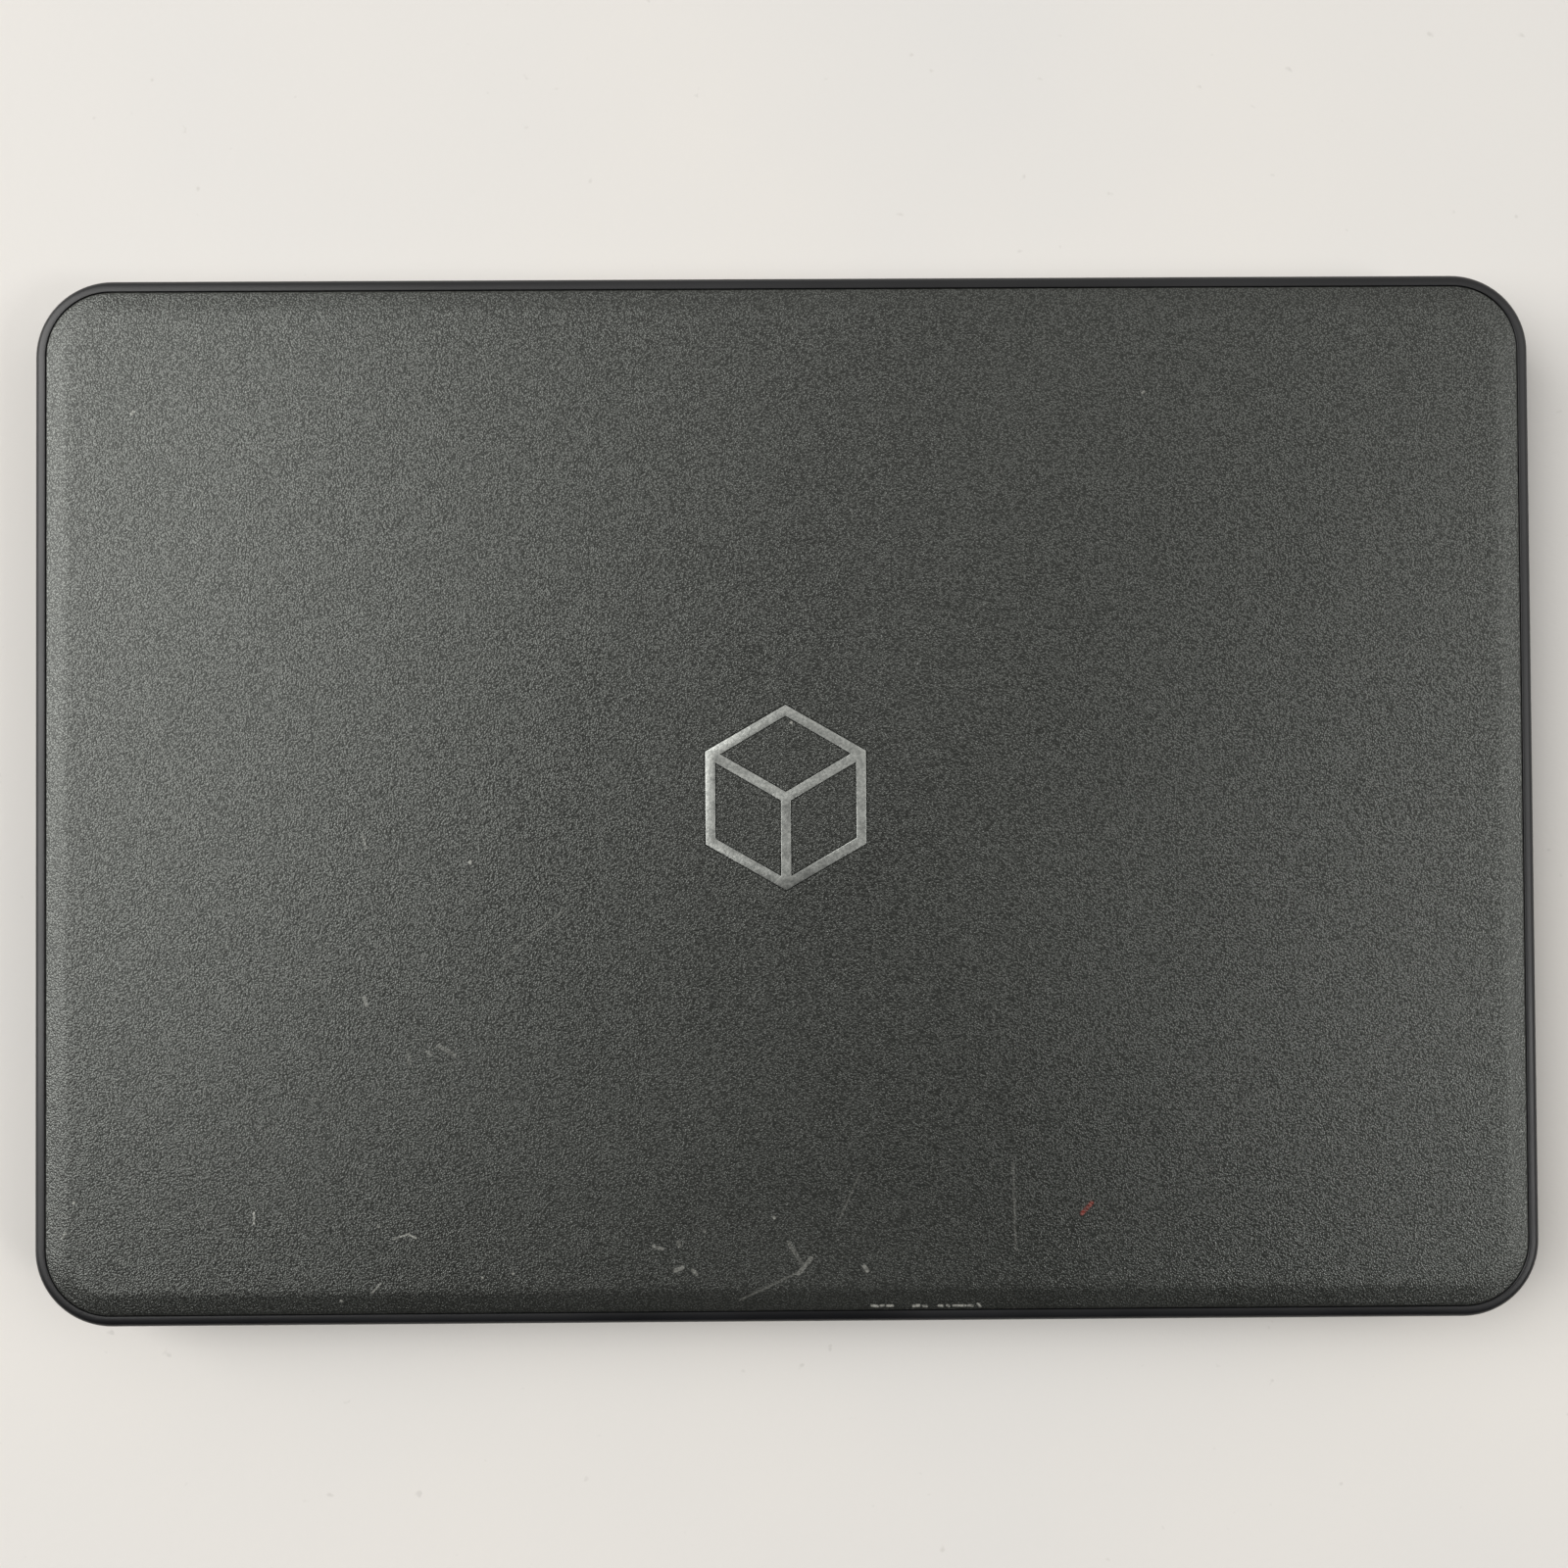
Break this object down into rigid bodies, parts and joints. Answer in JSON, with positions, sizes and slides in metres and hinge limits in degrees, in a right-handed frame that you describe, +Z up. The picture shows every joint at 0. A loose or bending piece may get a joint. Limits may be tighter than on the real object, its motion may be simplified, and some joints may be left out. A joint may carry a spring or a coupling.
{
  "type": "laptop computer",
  "caption": "Closed clamshell laptop in dark grey grained plastic with a rubber rim round the lid, opening on a barrel hinge to a keyboard and screen.",
  "frame": {"origin": "centre of the closed footprint, on the table plane under the feet", "axes": "+X to the user's right, +Y from the user towards the hinge, +Z up; lid closed at rest"},
  "size_m": [0.3296, 0.2296, 0.0208],
  "materials": {
    "lid_plastic": "fine leather-like grain, satin",
    "rim_rubber": "smooth matte bumper",
    "emblem_metal": "satin silver",
    "bezel_plastic": "fine grain",
    "display_gloss": "dark panel, switched off",
    "shell_plastic": "fine grain",
    "key_plastic": "smooth matte",
    "touchpad_surface": "smooth satin",
    "foot_rubber": "matte",
    "black_plastic": "smooth",
    "steel": "satin",
    "dark_steel": "blackened",
    "copper": "bare copper",
    "circuit_board": "solder mask",
    "battery_wrap": "black wrap",
    "port_shell": "nickel plated",
    "flat_cable": "white flat cable"
  },
  "bodies": {
    "base": {"palmrest_cover": "shell_plastic", "base_cover": "shell_plastic", "hinge_base_left": "dark_steel", "hinge_base_right": "dark_steel", "foot_front_left": "foot_rubber", "foot_front_right": "foot_rubber", "foot_rear_left": "foot_rubber", "foot_rear_right": "foot_rubber", "base_screw_front_left": "steel", "base_screw_front_right": "steel", "base_screw_middle_left": "steel", "base_screw_middle_right": "steel", "base_screw_rear_left": "steel", "base_screw_rear_right": "steel", "speaker_left": "black_plastic", "speaker_right": "black_plastic", "keyboard_plate": "steel", "key_field": "key_plastic", "touchpad_frame": "steel", "battery_pack": "battery_wrap", "system_board": "circuit_board", "heatsink": "copper", "fan_housing": "black_plastic", "memory_module": "circuit_board", "ssd_module": "circuit_board", "wlan_card": "circuit_board", "coin_cell": "steel", "io_board": "circuit_board", "io_ribbon_cable": "flat_cable", "dc_in_jack": "black_plastic", "ethernet_port": "black_plastic", "hdmi_port": "port_shell", "usb_a_port_left": "port_shell", "usb_c_port": "port_shell", "usb_a_port_right": "port_shell", "audio_jack": "black_plastic"},
    "lid": {"lid_back_cover": "lid_plastic", "lid_rim_bumper": "rim_rubber", "lid_emblem": "emblem_metal", "display_bezel": "bezel_plastic", "lcd_panel": "display_gloss", "camera_module": "black_plastic", "display_cable": "black_plastic", "antenna_left": "copper", "antenna_right": "copper", "hinge_arm_left": "steel", "hinge_arm_right": "steel", "hinge_shaft_left": "steel", "hinge_shaft_right": "steel", "hinge_cover_left": "bezel_plastic", "hinge_cover_right": "bezel_plastic"},
    "touchpad": {"touchpad": "touchpad_surface"},
    "power_button": {"power_button": "key_plastic"},
    "fan_impeller": {"fan_impeller": "black_plastic"},
    "space_bar": {"space_bar": "key_plastic"},
    "enter_key": {"enter_key": "key_plastic"},
    "arrow_up_key": {"arrow_up_key": "key_plastic"},
    "arrow_down_key": {"arrow_down_key": "key_plastic"},
    "arrow_left_key": {"arrow_left_key": "key_plastic"},
    "arrow_right_key": {"arrow_right_key": "key_plastic"}
  },
  "joints": [
    {"name": "lid_hinge", "type": "hinge", "parent": "base", "child": "lid", "pos_m": [0, 0.1098, 0.0105], "axis": [-1, 0, 0], "range_deg": [0, 180]},
    {"name": "touchpad_click", "type": "hinge", "parent": "base", "child": "touchpad", "pos_m": [-0.006, -0.035, 0.01265], "axis": [1, 0, 0], "range_deg": [0, 0.5], "stiffness_Nm_per_rad": 2, "springref_deg": -0.69},
    {"name": "power_button_press", "type": "slide", "parent": "base", "child": "power_button", "axis": [0, 0, -1], "range_m": [0, 0.0006], "stiffness_N_per_m": 80, "springref_m": -0.003},
    {"name": "fan_spin", "type": "hinge", "parent": "base", "child": "fan_impeller", "pos_m": [0.055, 0.065, 0.0052], "axis": [0, 0, 1], "continuous": true},
    {"name": "space_bar_press", "type": "slide", "parent": "base", "child": "space_bar", "axis": [0, 0, -1], "range_m": [0, 0.0013], "stiffness_N_per_m": 80, "springref_m": -0.003},
    {"name": "enter_key_press", "type": "slide", "parent": "base", "child": "enter_key", "axis": [0, 0, -1], "range_m": [0, 0.0013], "stiffness_N_per_m": 80, "springref_m": -0.003},
    {"name": "arrow_up_key_press", "type": "slide", "parent": "base", "child": "arrow_up_key", "axis": [0, 0, -1], "range_m": [0, 0.0013], "stiffness_N_per_m": 80, "springref_m": -0.003},
    {"name": "arrow_down_key_press", "type": "slide", "parent": "base", "child": "arrow_down_key", "axis": [0, 0, -1], "range_m": [0, 0.0013], "stiffness_N_per_m": 80, "springref_m": -0.003},
    {"name": "arrow_left_key_press", "type": "slide", "parent": "base", "child": "arrow_left_key", "axis": [0, 0, -1], "range_m": [0, 0.0013], "stiffness_N_per_m": 80, "springref_m": -0.003},
    {"name": "arrow_right_key_press", "type": "slide", "parent": "base", "child": "arrow_right_key", "axis": [0, 0, -1], "range_m": [0, 0.0013], "stiffness_N_per_m": 80, "springref_m": -0.003}
  ]
}
